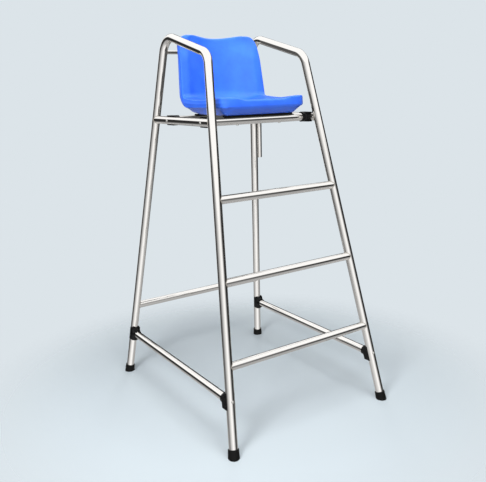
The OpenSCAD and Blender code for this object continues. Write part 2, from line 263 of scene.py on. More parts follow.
@dataclass(frozen=True)
class ChairSizes:
    """Lengths and angles that the pieces share, in metres and degrees."""

    base_depth: float = 1.085
    base_width: float = 0.896
    side_lean: float = 6.05
    # Inset and height of the front and the rear corner
    corners: tuple[tuple[float, float], ...] = ((0.398, 1.700), (0.277, 1.808))
    leg_d: float = 0.040
    rail_d: float = 0.038
    wall: float = 0.0015
    bend_r: float = 0.075
    rungs: tuple[float, ...] = (0.380, 0.730, 1.080)
    rear_bar_h: float = 0.400
    stretcher_h: float = 0.238
    back_tube_d: float = 0.019
    back_tube_h: float = 1.728
    seat_rail_h: float = 1.406
    cross_rails: tuple[float, ...] = (0.402, 0.721)
    foot_sole: float = 0.012
    fit: float = 0.0003

    @property
    def slant(self) -> float:
        """Length along a side frame's plane per metre of height."""
        return 1 / cos(radians(self.side_lean))

    def foot(self, end: End) -> Vector:
        """Foot of a leg in its side frame's plane, as depth and slanted height."""
        return Vector((end.value * self.base_depth / 2, 0.0))

    def corner(self, end: End) -> Vector:
        """Sharp corner that a leg runs up to, in its side frame's plane."""
        inset, height = self.corners[end is End.REAR]
        return Vector((end.value * (self.base_depth / 2 - inset), height * self.slant))

    def on_leg(self, end: End, height: float) -> Vector:
        """Point of a leg's centre line at a real height, in its side frame's plane."""
        foot, corner = self.foot(end), self.corner(end)
        return foot + (corner - foot) * (height * self.slant / corner.y)

    def lean_back(self, end: End) -> float:
        """Angle of a leg from upright in its side frame's plane, positive towards the back."""
        run = self.corner(end) - self.foot(end)
        return atan2(run.x, run.y)

    def side_plane(self, side: Side) -> Matrix:
        """Matrix that puts depth and slanted height (local Y and Z) onto a side frame."""
        lean = Matrix.Rotation(radians(-side.value * self.side_lean), 4, "Y")
        return Matrix.Translation((side.value * self.base_width / 2, 0, 0)) @ lean

    def leg_axis(self, side: Side, end: End) -> tuple[Vector, Vector]:
        """Point and direction of a leg's centre line, in the chair's frame."""
        low, high = (self.side_plane(side) @ Vector((0, *at))
                     for at in (self.foot(end), self.corner(end)))
        return low, (high - low).normalized()

    def leg_point(self, side: Side, end: End, height: float) -> Vector:
        """Point of a leg's centre line at a real height, in the chair's frame."""
        return self.side_plane(side) @ Vector((0, *self.on_leg(end, height)))

    def rail_point(self, side: Side, back: float) -> Vector:
        """Point of a seat rail's centre line, at a depth behind the front feet."""
        inset = self.seat_rail_h * tan(radians(self.side_lean))
        return Vector((side.value * (self.base_width / 2 - inset), back - self.base_depth / 2,
                       self.seat_rail_h))


SIZES = ChairSizes()


# --- Making meshes ---


def publish(
    mesh: Mesh,
    name: str,
    material: Material,
    replaced: tuple[str, ...] = (),
    crease: float = 40.0,
    place: Matrix | None = None,
) -> Object:
    """Give a finished mesh its place, object and finish, and hang it on the chair's root body.

    Args:
        mesh: Mesh of the piece.
        name: Name of the object.
        material: Its finish.
        replaced: CAD nodes that it stands for.
        crease: Angle above which an edge stays sharp, in degrees.
        place: Where the mesh goes, if it isn't in the chair's frame yet.

    Returns:
        The object.
    """
    if place is not None:
        mesh.transform(place)
    mesh.name = name
    mesh.materials.clear()
    mesh.materials.append(material)
    mesh.shade_smooth()
    mesh.set_sharp_from_angle(angle=radians(crease))
    piece = bpy.data.objects.new(name, mesh)
    bpy.context.scene.collection.objects.link(piece)
    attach(piece, "root")
    if replaced:
        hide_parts(*replaced)
    LOG.info("built %s: %d faces", name, len(mesh.polygons))
    return piece


def to_mesh(bm: BMesh, name: str) -> Mesh:
    """Close a bmesh, turn its normals outwards and make a mesh of it.

    Args:
        bm: Mesh under construction; it is freed.
        name: Name of the mesh.

    Returns:
        The mesh.
    """
    bmesh.ops.remove_doubles(bm, verts=bm.verts, dist=MERGE)
    bmesh.ops.recalc_face_normals(bm, faces=bm.faces)
    mesh = bpy.data.meshes.new(name)
    bm.to_mesh(mesh)
    bm.free()
    return mesh


def settled(scratch: Object) -> Mesh:
    """Apply the modifiers of a scratch object, or fill out a curve, and drop the object.

    Args:
        scratch: Object that is in no collection yet.

    Returns:
        Its finished mesh.
    """
    bpy.context.scene.collection.objects.link(scratch)
    graph = bpy.context.evaluated_depsgraph_get()
    mesh = bpy.data.meshes.new_from_object(scratch.evaluated_get(graph))
    bpy.data.objects.remove(scratch)
    return mesh


def quarter(steps: int) -> list[tuple[float, float]]:
    """Sine of each step of a quarter turn, and one less its cosine, to round profiles with."""
    turns = (pi / 2 * step / steps for step in range(1, steps + 1))
    return [(sin(turn), 1 - cos(turn)) for turn in turns]


def spun(profile: list[tuple[float, float]], steps: int = 48) -> BMesh:
    """Turn a profile round local Z.

    Args:
        profile: Radius and height of each point, from pole to pole or as a closed loop.
        steps: Steps of the full turn.

    Returns:
        The revolved shape.
    """
    bm = bmesh.new()
    points = [bm.verts.new((radius, 0, height)) for radius, height in profile]
    edges = [bm.edges.new(pair) for pair in zip(points, points[1:])]
    bmesh.ops.spin(
        bm, geom=points + edges, cent=(0, 0, 0), axis=(0, 0, 1), angle=tau,
        steps=steps, use_merge=True,
    )
    bmesh.ops.remove_doubles(bm, verts=bm.verts, dist=MERGE)
    return bm


def cylinder(radius: float, length: float, place: Matrix, segments: int = 64) -> Object:
    """Capped cylinder along local Z, used as a cutter.

    Args:
        radius: Its radius.
        length: Its length, half to each side of the origin.
        place: Matrix for its vertices.
        segments: Flats round it.

    Returns:
        The cutter's object.
    """
    bm = bmesh.new()
    bmesh.ops.create_cone(
        bm, cap_ends=True, segments=segments, radius1=radius, radius2=radius, depth=length,
        matrix=place,
    )
    cutter = bpy.data.objects.new("cutter", to_mesh(bm, "cutter"))
    bpy.context.scene.collection.objects.link(cutter)
    return cutter


def cut_flat(bm: BMesh, point: Vector, normal: Vector) -> list[BMEdge]:
    """Cut away what lies on the normal's side of a plane and close the cut.

    Args:
        bm: Mesh to cut.
        point: Point of the plane.
        normal: Direction of the part that goes.

    Returns:
        Edges round the new face.
    """
    geom = bm.verts[:] + bm.edges[:] + bm.faces[:]
    cut = bmesh.ops.bisect_plane(
        bm, geom=geom, dist=MERGE / 10, plane_co=point, plane_no=normal, clear_outer=True
    )["geom_cut"]
    edges = [item for item in cut if isinstance(item, BMEdge)]
    bmesh.ops.holes_fill(bm, edges=edges, sides=0)
    return edges


# --- Bent tubes ---


@dataclass
class SideTube:
    """One side's bent tube, from the front foot over both bends to the rear foot."""

    side: Side
    segments: int = 64
    bend_steps: int = 28

    def _push(self, bm: BMesh, rim: list[BMEdge], way: Vector
              ) -> list[BMEdge]:
        """Run the tube on by a straight length.

        Args:
            bm: Tube under construction.
            rim: Edges of its open end.
            way: Direction and length of the run.

        Returns:
            Edges of the new open end.
        """
        moved = bmesh.ops.extrude_edge_only(bm, edges=rim)["geom"]
        bmesh.ops.translate(bm, vec=way,
                            verts=[v for v in moved if isinstance(v, BMVert)])
        return [e for e in moved if isinstance(e, BMEdge)
                and all(v in moved for v in e.verts) and len(e.link_faces) == 1]

    def _turn(self, bm: BMesh, rim: list[BMEdge], centre: Vector,
              angle: float) -> list[BMEdge]:
        """Bend the tube on round a centre.

        Args:
            bm: Tube under construction.
            rim: Edges of its open end.
            centre: Centre of the bend.
            angle: Angle of the bend.

        Returns:
            Edges of the new open end.
        """
        ends = {v for e in rim for v in e.verts}
        last = bmesh.ops.spin(
            bm, geom=list(ends) + rim, cent=centre, axis=(-1, 0, 0), angle=angle,
            steps=self.bend_steps,
        )["geom_last"]
        return [e for e in last if isinstance(e, BMEdge)]

    def build(self, steel: Material) -> None:
        """Draw the tube by extruding and spinning one circle, and give it its wall.

        Args:
            steel: Finish of the tube.
        """
        stops = [SIZES.foot(End.FRONT), SIZES.corner(End.FRONT), SIZES.corner(End.REAR),
                 SIZES.foot(End.REAR)]
        runs = [end - start for start, end in zip(stops, stops[1:])]
        turns = [first.angle(second) for first, second in zip(runs, runs[1:])]
        sole = SIZES.foot_sole + SIZES.fit
        trims = [sole, *(SIZES.bend_r * tan(turn / 2) for turn in turns), sole]

        bm = bmesh.new()
        bmesh.ops.create_circle(bm, segments=self.segments, radius=SIZES.leg_d / 2)
        rim = bm.edges[:]
        at = Vector((0, 0, 0))
        heading = 0.0
        for run, before, after, turn in zip(runs, trims, trims[1:], turns + [0.0]):
            way = Vector((0, sin(heading), cos(heading))) * (run.length - before - after)
            rim = self._push(bm, rim, way)
            at += way
            if turn:
                inward = Vector((0, cos(heading), -sin(heading))) * SIZES.bend_r
                rim = self._turn(bm, rim, at + inward, turn)
                heading += turn
                at += inward - Vector((0, cos(heading), -sin(heading))) * SIZES.bend_r
        place = (
            SIZES.side_plane(self.side)
            @ Matrix.Translation((0, *SIZES.foot(End.FRONT)))
            @ Matrix.Rotation(-SIZES.lean_back(End.FRONT), 4, "X")
            @ Matrix.Translation((0, 0, sole))
        )
        word = self.side.word
        bmesh.ops.remove_doubles(bm, verts=bm.verts, dist=MERGE)
        bmesh.ops.recalc_face_normals(bm, faces=bm.faces)
        bmesh.ops.solidify(bm, geom=bm.faces[:], thickness=SIZES.wall)
        publish(
            to_mesh(bm, "side_tube"), f"side_tube_{word}", steel,
            (f"front_leg_{word}", f"armrest_{word}", f"rear_leg_{word}"), 60.0, place,
        )


# --- Welds ---


@dataclass
class Welds:
    """Beads where the ends of cross tubes and rails are welded to the legs."""

    bead: float = 0.0016
    points: int = 192
    ripples: int = 44
    ripple_height: float = 0.12
    run_in: float = 0.1

    def _bead(self, centre: Vector, way: Vector, radius: float, foot: Vector, axis: Vector
              ) -> Mesh:
        """Bead round one joint.

        Args:
            centre: Point of the welded tube's centre line, before the leg.
            way: Direction of that line towards the leg.
            radius: Radius of the welded tube.
            foot: Point of the leg's centre line.
            axis: Direction of the leg.

        Returns:
            The bead as a mesh.
        """
        side = way.orthogonal().normalized()
        up = way.cross(side)
        leg_r = SIZES.leg_d / 2
        curve = bpy.data.curves.new("bead", "CURVE")
        curve.dimensions = "3D"
        curve.bevel_depth = self.bead
        curve.bevel_resolution = 2
        line = curve.splines.new("POLY")
        line.points.add(self.points - 1)
        line.use_cyclic_u = True
        across = way.cross(axis)
        for i, point in enumerate(line.points):
            turn = tau * i / self.points
            start = centre + (side * cos(turn) + up * sin(turn)) * radius
            # Where the line from start along way is leg_r away from the leg's centre line
            offset = (start - foot).cross(axis)
            a, b, c = across.dot(across), offset.dot(across), offset.dot(offset) - leg_r**2
            reach = (-b - sqrt(max(0.0, b * b - a * c))) / a
            point.co = (*(start + way * reach), 1.0)
            point.radius = 1 + self.ripple_height * sin(self.ripples * turn)
        return settled(bpy.data.objects.new("bead", curve))

    def build(self, weld: Material) -> None:
        """Lay every bead and join the beads of each side.

        Args:
            weld: Finish of the beads.
        """
        rail_r, thin_r = SIZES.rail_d / 2, SIZES.back_tube_d / 2
        for side in Side:
            bm = bmesh.new()
            out = Vector((side.value, 0, 0))
            joints = [(End.FRONT, height, rail_r, out) for height in SIZES.rungs]
            joints += [(End.REAR, SIZES.rear_bar_h, rail_r, out),
                       (End.REAR, SIZES.back_tube_h, thin_r, out)]
            joints += [(end, SIZES.seat_rail_h, rail_r, Vector((0, end.value, 0))) for end in End]
            for end, height, radius, way in joints:
                before = SIZES.leg_point(side, end, height) - way * self.run_in
                bm.from_mesh(self._bead(before, way, radius, *SIZES.leg_axis(side, end)))
            publish(to_mesh(bm, "welds"), f"weld_beads_{side.word}", weld, (), 80.0)


# --- Moulded saddles ---


@dataclass
class Saddle:
    """Horn-shaped nylon saddle that hugs half of a tube and holds another tube's end."""

    hugged_d: float
    lean: float
    length: float
    flare_d: float = 0.084
    reach: float = 0.027
    wall: float = 0.004
    collar_len: float = 0.010
    flange: float = 0.005
    skirt_edge: float = 0.001
    socket: float = 0.018
    edge: float = 0.0011
    edge_angle: float = 38.0
    # Lengths of the two cutters, which reach well past the horn
    bore_cut: float = 0.3
    socket_cut: float = 0.1

    def _horn(self) -> BMesh:
        """Spin the horn round +X, its mouth at the collar and its skirt past the hugged tube.

        Returns:
            The solid horn.
        """
        end = self.hugged_d / 2 + self.reach
        collar = SIZES.rail_d / 2 + SIZES.fit + self.wall
        flare = self.flare_d / 2
        root = self.hugged_d / 2 + self.flange
        throat = end - self.collar_len - root
        profile = [(0, -self.hugged_d / 2), (flare, -self.hugged_d / 2),
                   (flare, root - self.skirt_edge)]
        profile += [(flare - (flare - collar) * rise, root + throat * run)
                    for rise, run in quarter(12)]
        profile += [(collar, end), (0, end)]
        bm = spun(profile, steps=96)
        bmesh.ops.rotate(bm, cent=(0, 0, 0), matrix=Matrix.Rotation(pi / 2, 3, "Y"),
                         verts=bm.verts)
        return bm

    def mesh(self) -> Mesh:
        """Cut the horn flat beside and behind the hugged tube, and hollow it out.

        Returns:
            The saddle with the hugged tube along Z and the held tube along +X.
        """
        bm = self._horn()
        tilt = Matrix.Rotation(radians(self.lean), 3, "Y")
        half = self.hugged_d / 2 + SIZES.fit + self.wall
        for normal, distance in (((0, 1, 0), half), ((0, -1, 0), half), ((-1, 0, 0), 0.0),
                                 ((0, 0, 1), self.length / 2), ((0, 0, -1), self.length / 2)):
            away = tilt @ Vector(normal)
            cut_flat(bm, away * distance, away)
        floor = self.hugged_d / 2 + self.reach - self.socket
        cutters = (
            cylinder(self.hugged_d / 2 + SIZES.fit, self.bore_cut, tilt.to_4x4()),
            cylinder(SIZES.rail_d / 2 + SIZES.fit, self.socket_cut,
                     Matrix.Translation((floor + self.socket_cut / 2, 0, 0))
                     @ Matrix.Rotation(pi / 2, 4, "Y")),
        )
        piece = bpy.data.objects.new("saddle", to_mesh(bm, "saddle"))
        for cutter in cutters:
            hole = piece.modifiers.new("hole", "BOOLEAN")
            hole.object = cutter
            hole.operation = "DIFFERENCE"
            hole.solver = "EXACT"
        rounding = piece.modifiers.new("moulded_edges", "BEVEL")
        rounding.width = self.edge
        rounding.segments = 3
        rounding.limit_method = "ANGLE"
        rounding.angle_limit = radians(self.edge_angle)
        result = settled(piece)
        for cutter in cutters:
            bpy.data.objects.remove(cutter)
        return result


@dataclass
class Connectors:
    """The eight saddles."""

    rail_length: float = 0.062
    whole_length: float = 0.2

    def build(self, nylon: Material) -> None:
        """Make one saddle for the rails and one for each kind of leg, and set copies in place.

        Args:
            nylon: Finish of the saddles.
        """
        on_rail = Saddle(SIZES.rail_d, 0.0, self.rail_length).mesh()
        for side in Side:
            for end, back in zip(End, SIZES.cross_rails):
                place = (
                    Matrix.Translation(SIZES.rail_point(side, back))
                    @ Matrix.Rotation(pi if side is Side.LEFT else 0.0, 4, "Z")
                    @ Matrix.Rotation(pi / 2, 4, "X")
                )
                self._set(on_rail, place, f"cross_{end.word}_{side.word}", nylon)
        for end in End:
            # The skirt's round ends stay whole on a leg
            lean = degrees(abs(SIZES.lean_back(end)))
            on_leg = Saddle(SIZES.leg_d, lean, self.whole_length).mesh()
            for side in Side:
                place = (
                    SIZES.side_plane(side)
                    @ Matrix.Translation((0, *SIZES.on_leg(end, SIZES.stretcher_h)))
                    @ Matrix.Rotation(-end.value * pi / 2, 4, "Z")
                )
                self._set(on_leg, place, f"stretcher_{end.word}_{side.word}", nylon)

    @staticmethod
    def _set(mesh: Mesh, place: Matrix, words: str, nylon: Material) -> None:
        """Put a copy of a saddle in place of the CAD's; words are those of the node's name."""
        publish(mesh.copy(), f"moulded_saddle_{words}", nylon,
                (f"saddle_{words}",), 50.0, place)


# --- Rubber feet ---


@dataclass
class RubberFoot:
    """Rubber ferrule on a leg's end, cut flat on the ground."""

    diameter: float = 0.052
    top_diameter: float = 0.049
    height: float = 0.040
    lip: float = 0.002
    ground_edge: float = 0.0015

    def build(self, side: Side, end: End, rubber: Material) -> None:
        """Spin the foot round the leg, cut it at the ground and round its edges.

        Args:
            side: Side of the chair.
            end: End of the side frame.
            rubber: Finish of the foot.
        """
        leg_r = SIZES.leg_d / 2 + SIZES.fit
        outer, top, low = self.diameter / 2, self.top_diameter / 2, -self.diameter / 4
        profile = [(0, low), (outer, low), (outer, SIZES.foot_sole / 2)]
        profile += [(top, self.height - self.lip)]
        profile += [(top - self.lip * run, self.height - self.lip * (1 - rise))
                    for rise, run in quarter(6)]
        profile += [(leg_r, self.height), (leg_r, SIZES.foot_sole), (0, SIZES.foot_sole)]
        bm = spun(profile, steps=96)
        place = (
            SIZES.side_plane(side)
            @ Matrix.Translation((0, *SIZES.foot(end)))
            @ Matrix.Rotation(-SIZES.lean_back(end), 4, "X")
        )
        bmesh.ops.transform(bm, matrix=place, verts=bm.verts)
        rim = cut_flat(bm, Vector((0, 0, 0)), Vector((0, 0, -1)))
        bmesh.ops.bevel(bm, geom=rim, offset=self.ground_edge, segments=3, profile=0.5,
                        affect="EDGES", material=-1)
        words = f"{end.word}_{side.word}"
        publish(to_mesh(bm, "foot"), f"rubber_foot_{words}", rubber,
                (f"foot_{words}",), 40.0)


# --- Bolts ---


@dataclass
class ButtonBolt:
    """Button-head socket screw with a washer, seen from its head."""

    head_d: float = 0.0115
    head_h: float = 0.0036
    brim: float = 0.0006
    shank: float = 0.006
    socket_across: float = 0.0042
    socket_depth: float = 0.0022
    washer_d: float = 0.0150
    washer_t: float = 0.0014
    # Shares of the head's radius, and of the washer's thickness
    shank_share: float = 0.5
    washer_hole: float = 0.55
    washer_edge: float = 0.2

    def mesh(self) -> Mesh:
        """Spin the head and its washer, and sink a hexagon into the head.

        Returns:
            The screw along +Z, with its washer's underside at the origin.
        """
        outer, hole = self.head_d / 2, self.socket_across / 2 / cos(pi / 6)
        low, top, shank = self.washer_t, self.washer_t + self.head_h, outer * self.shank_share
        crown = hole + self.brim
        profile = [(0.0, -self.shank), (shank, -self.shank), (shank, low), (outer, low)]
        profile += [(outer - (outer - crown) * run,
                     low + self.brim + (self.head_h - self.brim) * rise)
                    for rise, run in quarter(8)]
        bm = spun(profile)
        mouth = [e for e in bm.edges if len(e.link_faces) == 1]
        ring = bmesh.ops.create_circle(bm, segments=6, radius=hole,
                                       matrix=Matrix.Translation((0, 0, top)))["verts"]
        hexagon = list({e for v in ring for e in v.link_edges})
        bmesh.ops.bridge_loops(bm, edges=mouth + hexagon)
        walls = bmesh.ops.extrude_edge_only(bm, edges=hexagon)["geom"]
        floor = [v for v in walls if isinstance(v, BMVert)]
        bmesh.ops.translate(bm, vec=(0, 0, -self.socket_depth), verts=floor)
        bmesh.ops.contextual_create(bm, geom=floor)
        inner, rim = outer * self.washer_hole, self.washer_d / 2
        soft = self.washer_t * self.washer_edge
        washer = spun([(inner, 0), (rim, 0), (rim, self.washer_t - soft),
                       (rim - soft, self.washer_t), (inner, self.washer_t), (inner, 0)])
        bm.from_mesh(to_mesh(washer, "washer"))
        return to_mesh(bm, "bolt")


@dataclass
class Bolts:
    """Every screw that shows: through the rails, through the legs and under the seat."""

    seat_bolt_x: float = 0.120
    sink: float = 0.0012

    def build(self, steel: Material) -> None:
        """Set a screw at each place, its head away from the tube.

        Args:
            steel: Finish of the screws.
        """
        screw = ButtonBolt().mesh()
        rail_r, leg_r = SIZES.rail_d / 2 - self.sink, SIZES.leg_d / 2 - self.sink
        down = Vector((0, 0, -1))
        for side in Side:
            across = Vector((side.value, 0, 0))
            bolts = []
            for end, back in zip(End, SIZES.cross_rails):
                at = SIZES.rail_point(side, back)
                under = Vector((side.value * self.seat_bolt_x, at.y, at.z))
                bolts += [(f"rail_{end.word}", at, across, rail_r),
                          (f"seat_{end.word}", under, down, rail_r)]
            for end in End:
                at = SIZES.leg_point(side, end, SIZES.stretcher_h)
                axis = SIZES.leg_axis(side, end)[1]
                out = Vector((0, end.value, 0))
                out = (out - axis * out.dot(axis)).normalized()
                bolts.append((f"leg_{end.word}", at, out, leg_r))
            for words, at, out, radius in bolts:
                place = (Matrix.Translation(at + out * radius)
                         @ out.to_track_quat("Z", "Y").to_matrix().to_4x4())
                publish(screw.copy(), f"bolt_{words}_{side.word}", steel,
                        crease=35.0, place=place)


# --- Bucket seat ---


def clip(x: float) -> float:
    """Keep a share between 0 and 1."""
    return max(0.0, min(1.0, x))


def smooth(x: float) -> float:
    """Ease a share in and out."""
    return clip(x) ** 2 * (3 - 2 * clip(x))


def bend(v: float, start: float, end: float) -> float:
    """Line that is level up to start and climbs at 1 from end on, with an arc between."""
    arc = max(0.0, v - start) ** 2 / (2 * (end - start))
    return arc if v < end else v - (start + end) / 2


def drop(distance: float, radius: float) -> float:
    """Drop of a round corner at a distance from its end."""
    return radius - sqrt(radius**2 - (radius - distance) ** 2) if distance < radius else 0.0


def climb(t: float) -> float:
    """How far up the back a station is."""
    return max(0.0, t - 2)


@dataclass
class BucketSeat:
    """Blow-moulded double-wall seat, lofted along its pan, its turn and its back.

    A station t runs 0 to 1 along the pan, 1 to 2 round the turn and 2 to 3 up the back.
    A share v runs from 0 in the middle to 1 at the side.
    """

    # Outline of the shell
    half_w: float = 0.244
    front_back: float = 0.345
    pan: float = 0.338
    base_z: float = 1.431
    rim_h: float = 0.075
    height: float = 0.372
    lean: float = 7.0
    corner_r: float = 0.050
    back_taper: float = 0.017
    top_corner_r: float = 0.058
    top_corner_cut: float = 0.85
    # Hollow and rim on the sitter's side
    pan_hollow: float = 0.036
    back_hollow: float = 0.050
    arc_part: float = 0.45
    rim_w: float = 0.033
    soft_edge: float = 0.05
    scoop: float = 0.012
    scoop_run: float = 0.120
    shoulder: float = 0.5
    rim_wave: float = 0.005
    wave_turn: float = 300.0
    top_dip: float = 0.010
    top_back: float = 0.018
    top_start: float = 0.55
    # Walls and the outside
    rim_depth: float = 0.026
    back_wall: float = 0.028
    top_wall: float = 0.017
    top_mid_wall: float = 0.021
    base_inset: float = 0.043
    base_narrowing: float = 0.4
    base_soft: float = 0.03
    back_round: float = 0.34
    lip_face: float = 0.043
    front_chamfer: float = 0.030
    # Radii of the turns between pan and back
    rim_turn_r: float = 0.028
    hollow_turn_r: float = 0.085
    outer_turn_r: float = 0.062
    base_turn_r: float = 0.014
    # Rolled edge and the mould's parting line
    edge_r: float = 0.010
    round_share: float = 0.42
    seam: float = 0.0005
    seam_w: float = 0.0012
    # Steps of the loft
    across: int = 36
    round_steps: int = 6
    pan_steps: int = 30
    turn_steps: int = 22
    back_steps: int = 30

    @property
    def _back_len(self) -> float:
        """Length of the back above the pan's rim."""
        return self.height - self.rim_h

    @property
    def _inner(self) -> float:
        """Share at which the rim's crest lies."""
        return 1 - self.rim_w / self.half_w

    @property
    def _front(self) -> float:
        """Depth of the pan's front."""
        return self.front_back - SIZES.base_depth / 2

    @property
    def _rear_of_rim(self) -> float:
        """Depth of the front of the back's rim at the pan."""
        return self._front + self.pan

    def _elbow(self, t: float, back: float, z: float, radius: float) -> Vector:
        """Point of a line that runs back, turns up and leans back.

        Args:
            t: Station.
            back: Depth at which the back's line would meet the pan's.
            z: Height of the pan's line.
            radius: Radius of the turn.

        Returns:
            Depth and height.
        """
        swing = radians(90 - self.lean)
        end = back - radius * tan(swing / 2)
        if t < 1:
            return Vector((self._front + (end - self._front) * t, z))
        turn = clip(t - 1) * swing
        rise = self.base_z + self.height - z - radius * (1 - cos(swing))
        lift = rise * climb(t)
        return Vector((end + radius * sin(turn) + lift * tan(radians(self.lean)),
                       z + radius * (1 - cos(turn)) + lift))

    def _run_back(self, t: float) -> float:
        """How far the rim has run back into the top edge."""
        return smooth((climb(t) - self.top_start) / (1 - self.top_start))

    def _section(self, v: float) -> float:
        """Height of the hollow's section, from 0 in the middle to 1 at the rim's round crest."""
        crest = bend(abs(v), self._inner - self.soft_edge, self._inner + self.soft_edge)
        return (bend(abs(v), 0.0, self.arc_part) - crest) / (self._inner - self.arc_part / 2)

    def _top(self, t: float, v: float) -> Vector:
        """Point of the sitter's side.

        Args:
            t: Station.
            v: Share from the middle to the side.

        Returns:
            Depth and height.
        """
        back, low = self._rear_of_rim, self.base_z + self.rim_h
        wave = self.rim_wave * cos(radians(self.wave_turn) * clip(t))
        rim = self._elbow(t, back, low, self.rim_turn_r) + Vector(
            (self.top_back * self._run_back(t), wave))
        hollow = self._elbow(t, back + self.back_hollow, low - self.pan_hollow,
                             self.hollow_turn_r)
        share = 1 - self._section(v)
        dip = Vector((0, self.top_dip * share * climb(t)))
        full = rim + (hollow - rim) * share - dip
        if t >= 1:
            return full
        flat = smooth((abs(v) - self.shoulder) / (self._inner - self.shoulder))
        lip = rim - Vector((0, self.scoop * (1 - flat)))
        return lip + (full - lip) * smooth(t * self.pan / self.scoop_run)

    def _under(self, t: float, v: float) -> Vector:
        """Point of the outside.

        Args:
            t: Station.
            v: Share from the middle to the side.

        Returns:
            Depth and height.
        """
        back, turned = self._rear_of_rim, smooth(t - 0.5)
        flat = 1 - self.base_inset / self.half_w - self.base_narrowing * turned
        soft = self.base_soft + self.back_round * turned
        slope = bend(abs(v), flat - soft, flat + soft) - bend(abs(v), 1.0, 1.0 + soft)
        outer = self._elbow(t, back + self.rim_depth, self.base_z + self.rim_h - self.lip_face,
                            self.outer_turn_r)
        outer.x += (self.top_back + self.top_wall - self.rim_depth) * self._run_back(t)
        base = self._elbow(t, back + self.back_hollow + self.back_wall, self.base_z,
                           self.base_turn_r)
        base.x += (self.top_mid_wall - self.back_wall) * self._run_back(t)
        point = base + (outer - base) * clip(slope / (1 - flat))
        point.y -= self.top_dip * (1 - self._section(v)) * climb(t)
        if t < 1:
            point.y = outer.y + (point.y - outer.y) * clip(t * self.pan / self.front_chamfer)
        return point

    def _half_width(self, t: float) -> float:
        """Half of the shell's width at a station."""
        return (self.half_w - drop(t * self.pan, self.corner_r)
                - self.back_taper * climb(t)
                - self.top_corner_cut * drop((3 - t) * self._back_len, self.top_corner_r))

    def _stations(self) -> list[float]:
        """Place the loft's stations.

        Returns:
            Stations along the shell, denser where the front and top edges are rolled.
        """
        rolled = [0.0] + [share for _, share in quarter(self.round_steps)]
        front = [self.edge_r / self.pan * share for share in rolled]
        top = [3 - self.edge_r / self._back_len * share for share in reversed(rolled)]
        pan = [front[-1] + (1 - front[-1]) * i / self.pan_steps
               for i in range(1, self.pan_steps + 1)]
        turn = [1 + i / self.turn_steps for i in range(1, self.turn_steps + 1)]
        back = [2 + (top[0] - 2) * i / self.back_steps for i in range(1, self.back_steps)]
        return front + pan + turn + back + top

    def _half_ring(self, t: float) -> list[Vector]:
        """Half of the section at a station.

        Args:
            t: Station.

        Returns:
            Points from the middle of the outside to the middle of the sitter's side.
        """
        gap = t * self.pan if t < 1 else (3 - t) * self._back_len if t > 2 else self.edge_r
        side = (self._top(t, 1) - self._under(t, 1)).length
        roll = min(self.edge_r, self.round_share * side)
        ease = drop(gap, self.edge_r) * roll / self.edge_r
        inner = self._half_width(t) - roll
        up = (self._top(t, 0) - self._under(t, 0)).normalized()
        ring = []
        for sheet, sign in ((self._under, 1), (self._top, -1)):
            flat = [sheet(t, i / self.across) + up * ease * sign for i in range(self.across + 1)]
            row = [Vector((i / self.across * (inner - ease), *p)) for i, p in enumerate(flat)]
            edge = sheet(t, 1)
            for out, rise in quarter(self.round_steps):
                p = edge + up * sign * (ease + (roll - ease) * rise)
                row.append(Vector((inner - ease + roll * out, *p)))
            ring += row if sign == 1 else row[::-1]
        # The mould's parting line stands out a little in the middle of the side
        half = len(ring) // 2
        middle = (ring[half - 1] + ring[half]) / 2
        across = ring[half] - ring[half - 1]
        along = across.normalized() * min(self.seam_w, across.length / 4)
        crest = Vector((self.seam, 0, 0))
        return ring[:half] + [middle - along, middle + crest, middle + along] + ring[half:]

    def build(self, plastic: Material) -> Object:
        """Loft the rings, close the front and top edges and dress the seat.

        Args:
            plastic: Finish of the seat.

        Returns:
            The seat.
        """
        bm = bmesh.new()
        rows, loops = [], []
        for t in self._stations():
            half = self._half_ring(t)
            points = half + [Vector((-p.x, p.y, p.z)) for p in half[-2:0:-1]]
            row = [bm.verts.new(p) for p in points]
            rows.append(row)
            loops.append([bm.edges.new((row[i - 1], row[i])) for i in range(len(row))])
        for first, second in zip(loops, loops[1:]):
            bmesh.ops.bridge_loops(bm, edges=first + second)
        for row, loop in ((rows[0], loops[0]), (rows[-1], loops[-1])):
            sheets = [{row[start + i] for i in range(-self.across, self.across + 1)}
                      for start in (0, len(row) // 2)]
            strips = [e for e in loop if any(set(e.verts) <= sheet for sheet in sheets)]
            bmesh.ops.bridge_loops(bm, edges=strips)
        # Only the round ends of the two strips are still open
        ends = [e for e in bm.edges if len(e.link_faces) == 1]
        bmesh.ops.holes_fill(bm, edges=ends, sides=0)
        return publish(to_mesh(bm, "seat"), "moulded_bucket_seat", plastic,
                       ("bucket_seat",), 55.0)


# --- Studio ---


def swung(azimuth: float, elevation: float) -> Matrix:
    """Turn of a lamp or camera that looks back from an azimuth and an elevation in degrees."""
    tilt = Matrix.Rotation(radians(90 - elevation), 4, "X")
    return Matrix.Rotation(radians(azimuth), 4, "Z") @ tilt


@dataclass(frozen=True)
class Lamp:
    """Soft rectangular lamp that faces the middle of the chair."""

    name: str
    azimuth: float
    elevation: float
    distance: float
    size: tuple[float, float]
    watts: float
    aim_height: float = 1.1

    def place(self) -> None:
        """Hang the lamp; azimuth is counted from the front, positive towards +X."""
        lamp = bpy.data.objects.new(self.name, bpy.data.lights.new(self.name, "AREA"))
        lamp.data.shape = "RECTANGLE"
        lamp.data.size, lamp.data.size_y = self.size
        lamp.data.energy = self.watts
        # Glossy surfaces mirror the world's room instead, which has no hard-edged lamp
        lamp.visible_glossy = False
        lamp.matrix_world = (
            Matrix.Translation((0, 0, self.aim_height)) @ swung(self.azimuth, self.elevation)
            @ Matrix.Translation((0, 0, self.distance))
        )
        bpy.context.scene.collection.objects.link(lamp)


